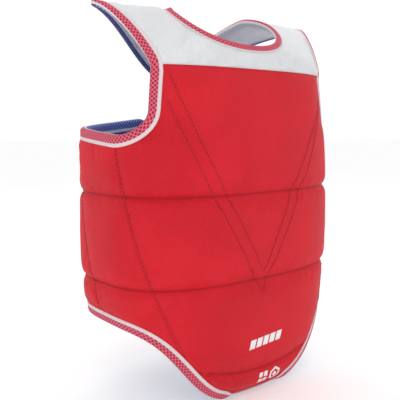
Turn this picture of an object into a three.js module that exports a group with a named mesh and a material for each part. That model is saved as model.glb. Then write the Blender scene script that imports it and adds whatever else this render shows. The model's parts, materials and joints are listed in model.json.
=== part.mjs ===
// A reversible padded trunk protector for sparring: a quilted foam body that wraps the chest and
// sides, a white yoke over both shoulders, and two back wings that are laced behind the wearer.
// Millimetres, +Z up. The front faces -Y and the wearer's left is +X. The origin is at the top of
// the shoulders, midway between them.
import * as THREE from "three";

const RIGHT = -1;
const LEFT = 1;

// Heights of the quilting seams below the top of the shoulders.
const YOKE_SEAM = -90;
const CHEST_SEAM = -267;
const WAIST_SEAM = -395;
const FLAP_SEAM = -539;

// Horizontal sections of the outer face: half width, depth in front of and behind the middle,
// and where the middle is.
const SECTIONS = [
  { z: -600, half: 174, front: 101, back: 108, middle: 8 },
  { z: FLAP_SEAM, half: 188, front: 120, back: 120, middle: 6 },
  { z: WAIST_SEAM, half: 205, front: 132, back: 128, middle: 8 },
  { z: CHEST_SEAM, half: 204, front: 137, back: 131, middle: 9 },
  { z: -187, half: 204, front: 130, back: 132, middle: 8 },
  { z: YOKE_SEAM, half: 203, front: 111, back: 120, middle: 5 },
];
const FRONT_POWER = 2.8;
const BACK_POWER = 3.2;

// The shoulders: how far the yoke runs from its seam up to the top, and how it bends there.
const SHOULDER_Y = 5;
const SHOULDER_RUN = 150;
const SHOULDER_FLARE = 0.045;
const SEAM_BEND = 24;
const TOP_BEND = 0.34;
const TOP_GAP = 2.5;
const TAPE_TOP_GAP = 9;
const SHOULDER_FILL = 0.1;

// Layers, from the outer face inwards.
const PAD = 18;
const YOKE_PAD = 9;
const CLOTH = 1.2;
const GAP = 0.3;
const PAD_TOP = 3;
const TAPE = 0.9;
const TAPE_LIFT = 2.3;
const TAPE_WIDTH = 13;
const PAD_GAP = 2;
const CLOTH_MARGINS = { left: GAP, right: GAP, bottom: GAP, top: GAP };
const PAD_MARGINS = { left: PAD_GAP, right: PAD_GAP, bottom: PAD_GAP, top: PAD_GAP };

// Outlines, as degrees round the body from the middle of the front, and heights.
const ARMHOLE_TURN = 63.5;
const ARMHOLE_STRAIGHT = -150;
const ARMHOLE_LOW = { turn: 80, z: -187 };
const ARMHOLE_SLOPE = 0.35;
const ARMHOLE_LINES = [-186, -182, -175, -164, -150, -120];
const CHEST_LINE = -228;
const SIDE_SEAM = { slant: 0.057, bow: 1.11e-4 };
const FOLD = { turn: 115.6, slant: 0.092 };
const WING_END = 163;
const HEM = { middle: -514, half: 63.5, turn: 52, spread: 14 };
const HEM_CORNER = 34;
const CORNER = 20;
const CORNER_TURN = 7.6;

// Outlines of the yoke, as distances across the shoulders and along its run.
const STRAP_TOP_X = 198;
const NECK_TOP_X = 72;
const NECK_FRONT_RUN = 48;
const NECK_BACK_RUN = 235;
const BACK_TAB = { x: 26, run: 286 };

// Lacing loops.
const LOOP = { width: 12, length: 20, bar: 3, thick: 2 };
const WING_LOOPS = { upper: -205, middle: -305, lower: -405 };
const YOKE_LOOP_X = 13;
const LOOP_LIFT = TAPE_LIFT + TAPE + 1;

const RED = new THREE.Color(0.72, 0.03, 0.06);
const BLUE = new THREE.Color(0.03, 0.05, 0.3);
const WHITE = new THREE.Color(0.86, 0.87, 0.88);
const FOAM = new THREE.Color(0.72, 0.72, 0.68);
const TAPE_RED = new THREE.Color(0.7, 0.08, 0.2);
const WEBBING = new THREE.Color(0.8, 0.8, 0.8);

// A margin square to a slanted edge, measured level, and the passes that settle a place.
const SLANTED = 1.4;
const SETTLING_PASSES = 30;

const mix = THREE.MathUtils.lerp;
const spaced = (count, make) => Array.from({ length: count + 1 }, (_, i) => make(i / count));
const radians = THREE.MathUtils.degToRad;

// Closer columns where a panel bends most: at both ends of the front, and at a side's seam.
const crowdEnds = (share) => mix(share, (1 - Math.cos(Math.PI * share)) / 2, 0.5);
const crowdSeam = (share) => share ** 1.5;

// A smooth curve through one measure of the sections.
function measureAt(z, key) {
  const last = SECTIONS.length - 2;
  const found = SECTIONS.findIndex((row) => row.z > z) - 1;
  const i = found < 0 ? (z >= SECTIONS[last + 1].z ? last : 0) : Math.min(found, last);
  const [low, high] = [SECTIONS[i], SECTIONS[i + 1]];
  const slope = (from, to) => (to[key] - from[key]) / (to.z - from.z);
  const here = slope(low, high);
  const before = i > 0 ? (here + slope(SECTIONS[i - 1], low)) / 2 : here;
  const after = i < last ? (here + slope(high, SECTIONS[i + 2])) / 2 : here;
  const span = high.z - low.z;
  const t = (z - low.z) / span;
  const rise = t * t * (3 - 2 * t);
  const lean = before * t * (1 - t) ** 2 - after * t * t * (1 - t);
  return mix(low[key], high[key], rise) + span * lean;
}

// A point of the body's outer face, at so many degrees round from the front.
function wrapPoint(turn, z) {
  const angle = radians(turn);
  const ahead = Math.cos(angle) > 0;
  const depth = measureAt(z, ahead ? "front" : "back");
  const power = ahead ? FRONT_POWER : BACK_POWER;
  const wide = Math.abs(Math.sin(angle) / measureAt(z, "half")) ** power;
  const deep = Math.abs(Math.cos(angle) / depth) ** power;
  const reach = (wide + deep) ** (-1 / power);
  const y = measureAt(z, "middle") - reach * Math.cos(angle);
  return new THREE.Vector3(reach * Math.sin(angle), y, z);
}

// A point of the yoke's outer face, at x across the shoulders and run along it: from its front
// seam, over the top of the shoulder, and down behind.
function yokePoint(x, run) {
  const ahead = run <= SHOULDER_RUN;
  const t = ahead ? run / SHOULDER_RUN : 2 - run / SHOULDER_RUN;
  const power = ahead ? FRONT_POWER : BACK_POWER;
  const depth = measureAt(YOKE_SEAM, ahead ? "front" : "back");
  const swell = Math.sin((t * Math.PI) / 2) ** 2;
  const section = x * (1 - SHOULDER_FILL * swell);
  const share = 1 - Math.abs(section / measureAt(YOKE_SEAM, "half")) ** power;
  const away = (ahead ? -depth : depth) * share ** (1 / power);
  const seamY = measureAt(YOKE_SEAM, "middle") + away;
  const bend = new THREE.CubicBezierCurve(
    new THREE.Vector2(seamY, YOKE_SEAM),
    new THREE.Vector2(seamY, YOKE_SEAM + SEAM_BEND),
    new THREE.Vector2(mix(SHOULDER_Y, seamY, TOP_BEND), 0),
    new THREE.Vector2(SHOULDER_Y, 0),
  );
  const [y, z] = bend.getPoint(t).toArray();
  return new THREE.Vector3(x * (1 + SHOULDER_FLARE * swell), y, z);
}

// The outward direction of a surface at a place on it.
function outward(surface, u, v) {
  const step = 0.05;
  const across = surface(u + step, v).sub(surface(u - step, v));
  const along = surface(u, v + step).sub(surface(u, v - step));
  return across.cross(along).normalize();
}

// The point a given depth below a surface.
function below(surface, u, v, depth) {
  return surface(u, v).addScaledVector(outward(surface, u, v), -depth);
}

// Degrees round the body that measure the given millimetres there.
function degreesFor(turn, z, length) {
  const step = wrapPoint(turn + 0.5, z).distanceTo(wrapPoint(turn - 0.5, z));
  return length / step;
}

// Outlines of the body, on its left half.
const hemAt = (turn) => {
  return HEM.middle + HEM.half * Math.tanh((Math.abs(turn) - HEM.turn) / HEM.spread);
};
const hemTurn = (z) => HEM.turn + HEM.spread * Math.atanh((z - HEM.middle) / HEM.half);
const sideSeam = (z) => {
  const drop = ARMHOLE_LOW.z - z;
  return ARMHOLE_LOW.turn - SIDE_SEAM.slant * drop - SIDE_SEAM.bow * drop * drop;
};
const foldLine = (z) => FOLD.turn + (z - ARMHOLE_LOW.z) * FOLD.slant;
const underArm = (turn) => ARMHOLE_LOW.z + (turn - ARMHOLE_LOW.turn) * ARMHOLE_SLOPE;
function armholeFront(z) {
  const drop = Math.min(Math.max(ARMHOLE_STRAIGHT - z, 0), ARMHOLE_STRAIGHT - ARMHOLE_LOW.z);
  const share = drop / (ARMHOLE_STRAIGHT - ARMHOLE_LOW.z);
  const round = 1 - Math.sqrt(1 - share * share);
  return ARMHOLE_TURN + (ARMHOLE_LOW.turn - ARMHOLE_TURN) * round;
}
// How far a wing's corner is rounded off at a turn near its end.
function cornerDrop(turn) {
  const share = Math.max(turn - (WING_END - CORNER_TURN), 0) / CORNER_TURN;
  return CORNER * (1 - Math.sqrt(Math.max(1 - share * share, 0)));
}
const wingTop = (turn) => underArm(turn) - cornerDrop(turn);
const wingHem = (turn) => hemAt(turn) + cornerDrop(turn);
const frontEdge = (z) => (z > ARMHOLE_LOW.z ? armholeFront(z) : sideSeam(z));

function finish(geometry, name, color, roughness) {
  geometry.computeVertexNormals();
  const material = new THREE.MeshStandardMaterial({ color, roughness, metalness: 0 });
  const mesh = new THREE.Mesh(geometry, material);
  mesh.name = name;
  return mesh;
}

// Cuts a box's inner face along the same diagonals as its outer face, so that the gap between
// two layers of one panel stays even.
function alignDiagonals(geometry) {
  const inner = geometry.groups[5];
  const index = geometry.index.array;
  for (let i = inner.start; i < inner.start + inner.count; i += 6) {
    const [a, b, d, , c] = index.slice(i, i + 5);
    index.set([a, b, c, a, c, d], i);
  }
}

// A closed sheet: a box whose width, height and thickness follow a surface. place gives the
// surface's two coordinates from shares across and up.
function sheet(surface, place, cells, depths) {
  const geometry = new THREE.BoxGeometry(1, 1, 1, cells[0], cells[1], 1);
  const corners = geometry.getAttribute("position");
  for (let i = 0; i < corners.count; i++) {
    const [u, v] = place(corners.getX(i) + 0.5, corners.getY(i) + 0.5);
    const depth = corners.getZ(i) > 0 ? depths[0] : depths[1];
    corners.setXYZ(i, ...below(surface, u, v, depth).toArray());
  }
  alignDiagonals(geometry);
  return geometry;
}

// Places inside four edges of the body, found by settling: two heights that depend on the turn,
// and two turns that depend on the height. Each edge stands off by its own margin.
function panelPlace(edges, margins) {
  return (across, up) => {
    let z = mix(edges.bottom(ARMHOLE_TURN), edges.top(ARMHOLE_TURN), up);
    let turn = mix(edges.left(z), edges.right(z), edges.crowd(across));
    for (let pass = 0; pass < SETTLING_PASSES; pass++) {
      const margin = (up === 0 ? margins.bottom : 0) - (up === 1 ? margins.top : 0);
      z = mix(z, mix(edges.bottom(turn), edges.top(turn), up) + margin, 0.6);
      const from = edges.left(z) + degreesFor(edges.left(z), z, margins.left);
      const to = edges.right(z) - degreesFor(edges.right(z), z, margins.right);
      turn = mix(from, to, edges.crowd(across));
    }
    return [turn, z];
  };
}

// The same panel on the wearer's right: its edges mirrored.
function mirrored(place) {
  return (across, up) => {
    const [turn, z] = place(1 - across, up);
    return [-turn, z];
  };
}

const level = (z) => () => z;

// Rows of quilting, from the lowest up, over a hem and under a top edge. Each has the shares of
// its height at which its lines lie.
const even = (cells) => spaced(cells, (share) => share);
const quiltRows = (hem, top, lines) => [
  { row: "lower", bottom: hem, top: level(WAIST_SEAM), lines: lines[0] },
  { row: "middle", bottom: level(WAIST_SEAM), top: level(CHEST_SEAM), lines: lines[1] },
  { row: "upper", bottom: level(CHEST_SEAM), top, lines: lines[2] },
];

// Places on one row, at its own lines.
function rowPlace(outline, row, margins) {
  const place = panelPlace({ ...outline, ...row }, margins);
  return (across, up) => place(across, row.lines[Math.round(up * (row.lines.length - 1))]);
}

// Places of one sheet over all rows of a column. Its lines are those of the pads under it.
function coverPlace(outline, rows) {
  const stops = rows.flatMap((row, at) => {
    const lines = at === 0 ? row.lines : row.lines.slice(1);
    const bottom = at === 0 ? GAP : 0;
    const top = at === rows.length - 1 ? GAP : 0;
    const place = panelPlace({ ...outline, ...row }, { left: GAP, right: GAP, bottom, top });
    return lines.map((line) => (across) => place(across, line));
  });
  return (across, up) => stops[Math.round(up * (stops.length - 1))](across);
}

// One column of the body: a foam pad for each row, the outer cover and the lining.
function column(names, outline, across, rows, put) {
  const parts = rows.map((row) => {
    const place = put(rowPlace(outline, row, PAD_MARGINS));
    const cells = [across, row.lines.length - 1];
    const pad = sheet(wrapPoint, place, cells, [PAD_TOP, PAD - PAD_TOP]);
    return finish(pad, `${names.pad}_${row.row}`, FOAM, 0.9);
  });
  const high = rows.reduce((sum, row) => sum + row.lines.length - 1, 0);
  const place = put(coverPlace(outline, rows));
  const cover = sheet(wrapPoint, place, [across, high], [0, CLOTH]);
  const lining = sheet(wrapPoint, place, [across, high], [PAD - CLOTH, PAD]);
  parts.push(finish(cover, names.cover, RED, 0.6));
  parts.push(finish(lining, names.lining, BLUE, 0.7));
  return parts;
}

function frontPanel() {
  const names = { pad: "front_pad", cover: "front_cover", lining: "front_lining" };
  const outline = { left: (z) => -frontEdge(z), right: frontEdge, crowd: crowdEnds };
  const shareOf = (z) => (z - CHEST_SEAM) / (YOKE_SEAM - CHEST_SEAM);
  const heights = [CHEST_SEAM, CHEST_LINE, ARMHOLE_LOW.z, ...ARMHOLE_LINES, YOKE_SEAM];
  const upper = heights.map(shareOf);
  const rows = quiltRows(level(FLAP_SEAM), level(YOKE_SEAM), [even(3), even(2), upper]);
  return column(names, outline, 16, rows, (place) => place);
}

function sideColumn(name, outline, across, rows, side, word) {
  const names = {
    pad: `${name}_${word}_pad`,
    cover: `${name}_cover_${word}`,
    lining: `${name}_lining_${word}`,
  };
  return column(names, outline, across, rows, side === LEFT ? (place) => place : mirrored);
}
const SIDE_OUTLINE = { left: sideSeam, right: foldLine, crowd: crowdSeam };
const WING_OUTLINE = { left: foldLine, right: () => WING_END, crowd: (share) => share };
const UNDERARM_LINE = (CHEST_LINE - CHEST_SEAM) / (ARMHOLE_LOW.z - CHEST_SEAM);
const SIDE_LINES = [even(4), even(2), [0, UNDERARM_LINE, 1]];
const SIDE_ROWS = quiltRows(hemAt, underArm, SIDE_LINES);
const WING_ROWS = quiltRows(wingHem, wingTop, SIDE_LINES);

// The flap below the lowest seam, which bends up when the wearer does. Its bottom edge runs
// between two corners of the hem, and its sides follow the hem up to the seam.
function flapPlace(margin) {
  return (across, up) => {
    const low = hemAt(mix(-HEM_CORNER, HEM_CORNER, across)) + margin;
    const z = mix(low, FLAP_SEAM - margin, up);
    const edge = hemTurn(mix(hemAt(HEM_CORNER), FLAP_SEAM, up));
    const half = edge - degreesFor(edge, z, SLANTED * margin);
    return [mix(-half, half, across), z];
  };
}

function flapPanel() {
  const pad = sheet(wrapPoint, flapPlace(PAD_GAP), [10, 2], [PAD_TOP, PAD - PAD_TOP]);
  const cover = sheet(wrapPoint, flapPlace(GAP), [12, 3], [0, CLOTH]);
  const lining = sheet(wrapPoint, flapPlace(GAP), [12, 3], [PAD - CLOTH, PAD]);
  return [
    finish(pad, "flap_pad", FOAM, 0.9),
    finish(cover, "flap_cover", RED, 0.6),
    finish(lining, "flap_lining", BLUE, 0.7),
  ];
}

// Edges of the yoke on the wearer's left half, from the top of the shoulder to the middle.
const plane = (x, run) => new THREE.Vector2(x, run);
const NECK_FRONT = new THREE.CubicBezierCurve(
  plane(NECK_TOP_X, SHOULDER_RUN),
  plane(116, 108),
  plane(90, NECK_FRONT_RUN - 1),
  plane(0, NECK_FRONT_RUN),
);
const NECK_BACK = new THREE.CubicBezierCurve(
  plane(NECK_TOP_X, SHOULDER_RUN),
  plane(64, 200),
  plane(40, NECK_BACK_RUN),
  plane(0, NECK_BACK_RUN),
);
const strapFoot = wrapPoint(ARMHOLE_TURN, YOKE_SEAM).x;
const STRAP_FRONT = new THREE.QuadraticBezierCurve(
  plane(STRAP_TOP_X, SHOULDER_RUN),
  plane(strapFoot + 9, 60),
  plane(strapFoot, 0),
);
const STRAP_BACK = new THREE.CubicBezierCurve(
  plane(STRAP_TOP_X, SHOULDER_RUN),
  plane(STRAP_TOP_X - 6, 170),
  plane(98, 226),
  plane(BACK_TAB.x, BACK_TAB.run),
);

// A full edge of the yoke from the right shoulder to the left: half runs down one strap, then a
// straight stretch of the given half width, then up the other strap.
function yokeEdge(half, strapShare) {
  return (share) => {
    const side = share < 0.5 ? RIGHT : LEFT;
    const along = 1 - Math.abs(2 * share - 1);
    if (along <= strapShare) {
      const at = half.getPoint(along / strapShare);
      return plane(side * at.x, at.y);
    }
    const end = half.getPoint(1);
    return plane(side * end.x * (1 - (along - strapShare) / (1 - strapShare)), end.y);
  };
}

// Places of a yoke between its outer edge and its neck edge, with a margin all round and a gap
// along the top of the shoulders.
function yokePlace(neck, outer, ahead, margin, topGap) {
  return (across, up) => {
    const inner = neck(across);
    const far = outer(across);
    const width = inner.distanceTo(far);
    const at = far.clone().lerp(inner, mix(margin / width, 1 - margin / width, up));
    const low = ahead ? margin : SHOULDER_RUN + topGap;
    const high = ahead ? SHOULDER_RUN - topGap : BACK_TAB.run - margin;
    return [at.x, THREE.MathUtils.clamp(at.y, low, high)];
  };
}

function yoke(word, neck, outer, ahead) {
  const cells = [20, 4];
  const cloth = yokePlace(neck, outer, ahead, GAP, TOP_GAP);
  const pad = yokePlace(neck, outer, ahead, PAD_GAP, 2 * TOP_GAP);
  const flip = (place) => (ahead ? place : (across, up) => place(across, 1 - up));
  const cover = sheet(yokePoint, flip(cloth), cells, [0, CLOTH]);
  const core = sheet(yokePoint, flip(pad), cells, [PAD_TOP, YOKE_PAD - PAD_TOP]);
  const lining = sheet(yokePoint, flip(cloth), cells, [YOKE_PAD - CLOTH, YOKE_PAD]);
  return [
    finish(cover, `${word}_cover`, WHITE, 0.6),
    finish(core, `${word}_pad`, FOAM, 0.9),
    finish(lining, `${word}_lining`, WHITE, 0.7),
  ];
}

// Stations along an edge: its place on a surface, and the way off the panel, which is to the right
// of someone who follows the edge with their head outward.
function stations(surface, places, thick) {
  const last = places.length - 1;
  return places.map((place, i) => {
    const before = surface(...places[Math.max(i - 1, 0)]);
    const along = surface(...places[Math.min(i + 1, last)]).sub(before);
    return { surface, place, away: along.cross(outward(surface, ...place)).normalize(), thick };
  });
}

// Cuts a tape's end level with the top of the shoulders.
function squareEnd(station) {
  station.away.set(Math.sign(station.away.x), 0, 0);
}

// The place on a station's surface that lies a tape's width inside the edge.
function inside({ surface, place: [u, v], away }) {
  const step = 0.05;
  const across = surface(u + step, v).sub(surface(u - step, v)).divideScalar(2 * step);
  const along = surface(u, v + step).sub(surface(u, v - step)).divideScalar(2 * step);
  const skew = across.dot(along);
  const area = across.lengthSq() * along.lengthSq() - skew * skew;
  const [du, dv] = [across.dot(away) / area, along.dot(away) / area];
  return [
    u - TAPE_WIDTH * (du * along.lengthSq() - dv * skew),
    v - TAPE_WIDTH * (dv * across.lengthSq() - du * skew),
  ];
}

// A binding tape folded over an edge: a flat strip whose width runs over the inner face, round
// the edge, and back over the outer face.
function binding(name, edge) {
  const last = edge.length - 1;
  const geometry = new THREE.BoxGeometry(1, 1, 1, last, 3, 1);
  const corners = geometry.getAttribute("position");
  for (let i = 0; i < corners.count; i++) {
    const station = edge[Math.round((corners.getX(i) + 0.5) * last)];
    const { surface, place, away, thick } = station;
    const fold = Math.round((corners.getY(i) + 0.5) * 3);
    const lift = corners.getZ(i) > 0 ? TAPE_LIFT + TAPE : TAPE_LIFT;
    const depth = fold < 2 ? thick + lift : -lift;
    const free = fold === 0 || fold === 3;
    const point = below(surface, ...(free ? inside(station) : place), depth);
    point.addScaledVector(away, free ? 0 : lift);
    corners.setXYZ(i, ...point.toArray());
  }
  return finish(geometry, name, TAPE_RED, 0.8);
}

// An outline drawn on the wearer's right, or mirrored and followed the other way on the left.
function onSide(side, places) {
  const put = places.map(([u, v]) => [side * u, v]);
  return side === RIGHT ? put : put.reverse();
}

// The armhole: down the strap, round under the arm, and back to the fold.
function armholeTape(side, word) {
  const start = clearOfTop((share) => STRAP_FRONT.getPoint(share));
  const strap = spaced(8, (share) => STRAP_FRONT.getPoint(mix(start, 0.9, share)).toArray());
  const heights = [...ARMHOLE_LINES, YOKE_SEAM].reverse();
  const front = heights.map((z) => [armholeFront(z), z]);
  const foldTurn = foldLine(underArm(FOLD.turn)) - 0.2;
  const under = spaced(5, (share) => {
    const turn = mix(ARMHOLE_LOW.turn, foldTurn, share);
    return [turn, underArm(turn)];
  });
  const strapPart = stations(yokePoint, onSide(side, strap), YOKE_PAD);
  const bodyPart = stations(wrapPoint, onSide(side, [...front, ...under]), PAD);
  squareEnd(side === RIGHT ? strapPart[0] : strapPart.at(-1));
  const edge = side === RIGHT ? [...strapPart, ...bodyPart] : [...bodyPart, ...strapPart];
  return binding(`armhole_tape_${word}`, edge);
}

// The hem of the side, from the flap seam back to the fold.
function hemTape(side, word) {
  const from = hemTurn(FLAP_SEAM) + 0.3;
  const to = foldLine(hemAt(FOLD.turn)) - 0.2;
  const places = spaced(16, (share) => {
    const turn = mix(to, from, share);
    return [turn, hemAt(turn)];
  });
  return binding(`hem_tape_${word}`, stations(wrapPoint, onSide(side, places), PAD));
}

// The free edges of a wing: its top, its laced end and its hem, with rounded corners.
function wingTape(side, word) {
  const from = foldLine(underArm(FOLD.turn)) + 0.2;
  const to = foldLine(hemAt(FOLD.turn)) + 0.2;
  const turnsFrom = (start) => spaced(9, (share) => mix(start, WING_END - CORNER_TURN, share));
  const corner = [0.26, 0.5, 0.71, 0.87, 0.97].map((s) => WING_END + (s - 1) * CORNER_TURN);
  const top = [...turnsFrom(from), ...corner].map((turn) => [turn, wingTop(turn)]);
  const hem = [...turnsFrom(to), ...corner].map((turn) => [turn, wingHem(turn)]);
  const end = spaced(4, (share) => [WING_END, mix(wingTop(WING_END), wingHem(WING_END), share)]);
  const places = [...top, ...end, ...hem.reverse()];
  return binding(`wing_tape_${word}`, stations(wrapPoint, onSide(side, places), PAD));
}

function flapTape() {
  const end = hemTurn(FLAP_SEAM) - 0.3;
  const places = spaced(16, (share) => {
    const turn = mix(-end, end, share);
    return [turn, hemAt(turn)];
  });
  return binding("flap_tape", stations(wrapPoint, places, PAD));
}

// The share of an edge at which it has left the top of the shoulders.
function clearOfTop(edge) {
  let share = 0;
  while (Math.abs(edge(share).y - SHOULDER_RUN) < TAPE_TOP_GAP) {
    share += 0.002;
  }
  return share;
}

// A tape along one edge of a yoke. It starts and ends just short of the top of the shoulders.
function yokeTape(name, edge, count, leftFirst) {
  const start = clearOfTop(edge);
  const places = spaced(count, (share) => {
    const from = mix(start, 1 - start, share);
    return edge(leftFirst ? 1 - from : from).toArray();
  });
  const stops = stations(yokePoint, places, YOKE_PAD);
  squareEnd(stops[0]);
  squareEnd(stops.at(-1));
  return binding(name, stops);
}

// A flat webbing loop for the lacing cord: it stands off its edge, in the plane of the panel.
function loop(name, surface, place, thick, turned) {
  const outline = new THREE.Shape();
  outline.moveTo(0, -LOOP.length / 2);
  outline.lineTo(LOOP.width, -LOOP.length / 2);
  outline.lineTo(LOOP.width, LOOP.length / 2);
  outline.lineTo(0, LOOP.length / 2);
  outline.closePath();
  const hole = new THREE.Path();
  hole.moveTo(LOOP.bar, -LOOP.length / 2 + LOOP.bar);
  hole.lineTo(LOOP.bar, LOOP.length / 2 - LOOP.bar);
  hole.lineTo(LOOP.width - LOOP.bar, LOOP.length / 2 - LOOP.bar);
  hole.lineTo(LOOP.width - LOOP.bar, -LOOP.length / 2 + LOOP.bar);
  hole.closePath();
  outline.holes.push(hole);
  const geometry = new THREE.ExtrudeGeometry(outline, { depth: LOOP.thick, bevelEnabled: false });
  const mesh = finish(geometry, name, WEBBING, 0.8);
  mesh.rotation.set(Math.PI / 2, turned, 0, "YXZ");
  mesh.position.copy(below(surface, ...place, thick / 2));
  mesh.position.y += LOOP.thick / 2;
  return mesh;
}

const protector = new THREE.Group();

function addSide(side, word) {
  protector.add(...sideColumn("side", SIDE_OUTLINE, 8, SIDE_ROWS, side, word));
  protector.add(...sideColumn("wing", WING_OUTLINE, 10, WING_ROWS, side, word));
  protector.add(armholeTape(side, word), hemTape(side, word), wingTape(side, word));
  for (const [height, z] of Object.entries(WING_LOOPS)) {
    const mesh = loop(`lace_loop_${word}_${height}`, wrapPoint, [side * WING_END, z], PAD,
      side === LEFT ? Math.PI : 0);
    mesh.position.x -= side * LOOP_LIFT;
    protector.add(mesh);
  }
  const at = [side * YOKE_LOOP_X, BACK_TAB.run];
  const hanging = loop(`lace_loop_yoke_${word}`, yokePoint, at, YOKE_PAD, Math.PI / 2);
  hanging.position.z -= LOOP_LIFT;
  protector.add(hanging);
}

const frontNeck = yokeEdge(NECK_FRONT, 1);
const backNeck = yokeEdge(NECK_BACK, 1);
const frontStraps = yokeEdge(STRAP_FRONT, 0.6);
const backStraps = yokeEdge(STRAP_BACK, 0.8);

protector.add(...frontPanel());
protector.add(...flapPanel());
protector.add(flapTape());
protector.add(...yoke("yoke", frontNeck, frontStraps, true));
protector.add(...yoke("back_yoke", backNeck, backStraps, false));
protector.add(yokeTape("neck_tape_front", frontNeck, 18, true));
protector.add(yokeTape("neck_tape_back", backNeck, 12, false));
protector.add(yokeTape("back_yoke_tape", backStraps, 20, true));
addSide(RIGHT, "right");
addSide(LEFT, "left");

export default protector;
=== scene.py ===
"""The looks of a reversible padded trunk protector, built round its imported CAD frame.

The front faces -Y and the wearer's left is +X. The origin is at the top of the shoulders. Surface
functions work in millimetres and degrees; meshes are made in metres.
"""

import json
import math

import bpy
import numpy as np
from mathutils import Matrix, Vector
from mathutils.bvhtree import BVHTree


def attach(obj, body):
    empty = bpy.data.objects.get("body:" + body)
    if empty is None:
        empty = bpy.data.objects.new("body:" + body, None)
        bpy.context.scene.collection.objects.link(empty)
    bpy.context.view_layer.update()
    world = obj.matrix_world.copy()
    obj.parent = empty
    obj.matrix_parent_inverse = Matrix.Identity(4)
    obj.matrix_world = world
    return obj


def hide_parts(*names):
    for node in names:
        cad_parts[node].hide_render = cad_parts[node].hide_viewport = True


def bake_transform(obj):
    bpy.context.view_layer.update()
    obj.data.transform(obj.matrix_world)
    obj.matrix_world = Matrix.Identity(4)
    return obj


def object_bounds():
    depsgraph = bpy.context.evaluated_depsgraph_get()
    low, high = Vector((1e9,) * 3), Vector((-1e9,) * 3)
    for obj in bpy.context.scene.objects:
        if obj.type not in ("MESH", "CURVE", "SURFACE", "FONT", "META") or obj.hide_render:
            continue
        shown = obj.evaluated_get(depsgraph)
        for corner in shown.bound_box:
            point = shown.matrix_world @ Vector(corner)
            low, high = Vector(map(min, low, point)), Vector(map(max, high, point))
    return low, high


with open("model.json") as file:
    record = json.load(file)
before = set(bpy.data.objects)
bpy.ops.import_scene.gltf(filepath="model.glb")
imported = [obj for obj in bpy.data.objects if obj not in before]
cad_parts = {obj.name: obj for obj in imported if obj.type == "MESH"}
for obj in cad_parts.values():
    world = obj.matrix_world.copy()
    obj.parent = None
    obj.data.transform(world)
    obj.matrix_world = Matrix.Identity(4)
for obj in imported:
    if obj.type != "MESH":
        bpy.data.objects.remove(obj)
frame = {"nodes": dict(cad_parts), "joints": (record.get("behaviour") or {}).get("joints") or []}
CAD_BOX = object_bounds()

MM = 0.001
RIGHT, LEFT = -1, 1
WORDS = {RIGHT: "right", LEFT: "left"}
ROWS = ("upper", "middle", "lower")

# Driving dimensions of the CAD part, repeated.
YOKE_SEAM, CHEST_SEAM, WAIST_SEAM, FLAP_SEAM = -90.0, -267.0, -395.0, -539.0
SECTIONS = np.array(
    [  # height, half width, depth in front, depth behind, middle
        (-600, 174, 101, 108, 8),
        (-539, 188, 120, 120, 6),
        (-395, 205, 132, 128, 8),
        (-267, 204, 137, 131, 9),
        (-187, 204, 130, 132, 8),
        (-90, 203, 111, 120, 5),
    ],
    float,
)
FRONT_POWER, BACK_POWER = 2.8, 3.2
SHOULDER_Y, SHOULDER_RUN, SHOULDER_FLARE = 5.0, 150.0, 0.045
SEAM_BEND, TOP_BEND, SHOULDER_FILL = 24.0, 0.34, 0.1
PAD, YOKE_PAD = 18.0, 9.0
ARMHOLE_TURN, ARMHOLE_STRAIGHT = 63.5, -150.0
ARMHOLE_LOW_TURN, ARMHOLE_LOW_Z, ARMHOLE_SLOPE = 80.0, -187.0, 0.35
SIDE_SLANT, SIDE_BOW = 0.057, 1.11e-4
FOLD_TURN, FOLD_SLANT = 115.6, 0.092
WING_END, CORNER, CORNER_TURN = 163.0, 20.0, 7.6
HEM_MIDDLE, HEM_HALF, HEM_TURN, HEM_SPREAD = -514.0, 63.5, 52.0, 14.0
HEM_CORNER = 34.0
STRAP_TOP_X, NECK_TOP_X = 198.0, 72.0
NECK_FRONT_RUN, NECK_BACK_RUN = 48.0, 235.0
TAB_X, TAB_RUN, TAB_SHARE = 26.0, 286.0, 0.85


# ---- surfaces


join = np.concatenate


def mix(a, b, t):
    return a + (b - a) * t


def measure(z, column):
    """A smooth curve through one column of the sections."""
    rows, value = SECTIONS[:, 0], SECTIONS[:, column]
    slope = np.diff(value) / np.diff(rows)
    lean = join([slope[:1], (slope[1:] + slope[:-1]) / 2, slope[-1:]])
    i = np.clip(np.searchsorted(rows, z, side="right") - 1, 0, len(rows) - 2)
    span = rows[i + 1] - rows[i]
    t = (z - rows[i]) / span
    rise = t * t * (3 - 2 * t)
    sway = lean[i] * t * (1 - t) ** 2 - lean[i + 1] * t * t * (1 - t)
    return mix(value[i], value[i + 1], rise) + span * sway


def wrap(turn, z):
    """Points of the body's outer face, at degrees round from the middle of the front."""
    turn, z = np.broadcast_arrays(np.asarray(turn, float), np.asarray(z, float))
    angle = np.radians(turn)
    ahead = np.cos(angle) > 0
    depth = np.where(ahead, measure(z, 2), measure(z, 3))
    power = np.where(ahead, FRONT_POWER, BACK_POWER)
    wide = np.abs(np.sin(angle) / measure(z, 1)) ** power
    deep = np.abs(np.cos(angle) / depth) ** power
    reach = (wide + deep) ** (-1 / power)
    y = measure(z, 4) - reach * np.cos(angle)
    return np.stack([reach * np.sin(angle), y, z], -1)


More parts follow.
